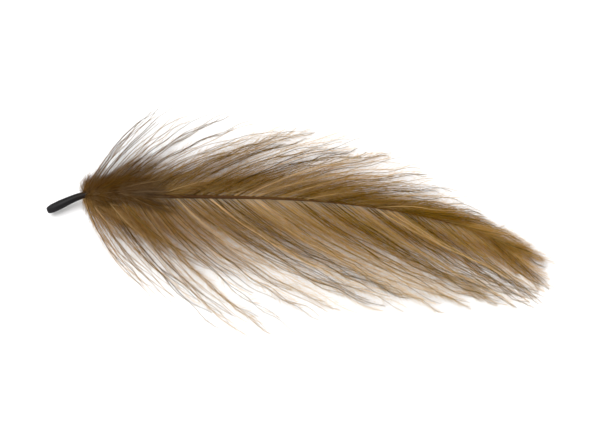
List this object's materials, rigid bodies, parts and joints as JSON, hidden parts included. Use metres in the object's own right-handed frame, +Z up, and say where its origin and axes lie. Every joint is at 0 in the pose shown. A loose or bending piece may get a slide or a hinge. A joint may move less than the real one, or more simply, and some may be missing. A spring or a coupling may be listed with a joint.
{
  "type": "cul de canard feather",
  "caption": "Soft brown duck plume with a bare dark quill, a tapering shaft and loose vanes of long fine barbs, one wide and one narrow, lying on a table.",
  "frame": {"origin": "middle of the feather's outline seen from above, on the table that it lies on", "axes": "+X along the feather from its quill end to its tip, +Y across it towards the narrow vane, +Z up from the table"},
  "size_m": [0.0486, 0.022, 0.0036],
  "materials": {
    "plume": "soft matt brown keratin, dark grey and slightly glossy on the bare quill"
  },
  "bodies": {
    "root": {"feather": "plume"}
  },
  "joints": []
}
